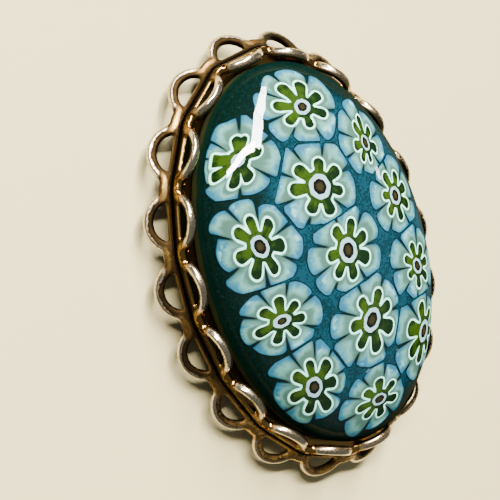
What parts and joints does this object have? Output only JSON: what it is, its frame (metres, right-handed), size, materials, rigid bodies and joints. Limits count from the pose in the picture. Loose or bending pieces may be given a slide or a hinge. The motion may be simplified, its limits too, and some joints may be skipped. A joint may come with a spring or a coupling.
{
  "type": "oval millefiori glass brooch",
  "caption": "Oval domed glass brooch with flower slices set in teal glass, in a two-row pierced lace-edge gold-tone setting with a plain pin across the back.",
  "frame": {"origin": "centre of the oval, on the surface that the brooch lies on, glass side up", "axes": "+Z out of the glass, +Y along the oval towards the pin's side, +X across the oval towards the pin's catch"},
  "size_m": [0.0228, 0.0298, 0.0075],
  "materials": {
    "gilt_metal": "antiqued gold tone with worn bright rims",
    "pin_metal": "plain gold tone",
    "teal_glass": "polished opaque dark teal",
    "petal_glass": "polished opaque pale blue",
    "white_glass": "polished opaque white",
    "green_glass": "polished apple green",
    "dark_glass": "polished near-black brown"
  },
  "bodies": {
    "root": {"gallery_setting": "gilt_metal", "pin_back": "pin_metal", "glass_base": "teal_glass", "cane_01": "petal_glass", "cane_02": "petal_glass", "cane_03": "petal_glass", "cane_04": "petal_glass", "cane_05": "petal_glass", "cane_06": "petal_glass", "cane_07": "petal_glass", "cane_08": "petal_glass", "cane_09": "petal_glass", "cane_10": "petal_glass", "cane_11": "petal_glass", "cane_12": "petal_glass", "cane_13": "petal_glass", "star_outlines": "white_glass", "green_stars": "green_glass", "white_eyes": "white_glass", "dark_cores": "dark_glass"}
  },
  "joints": []
}
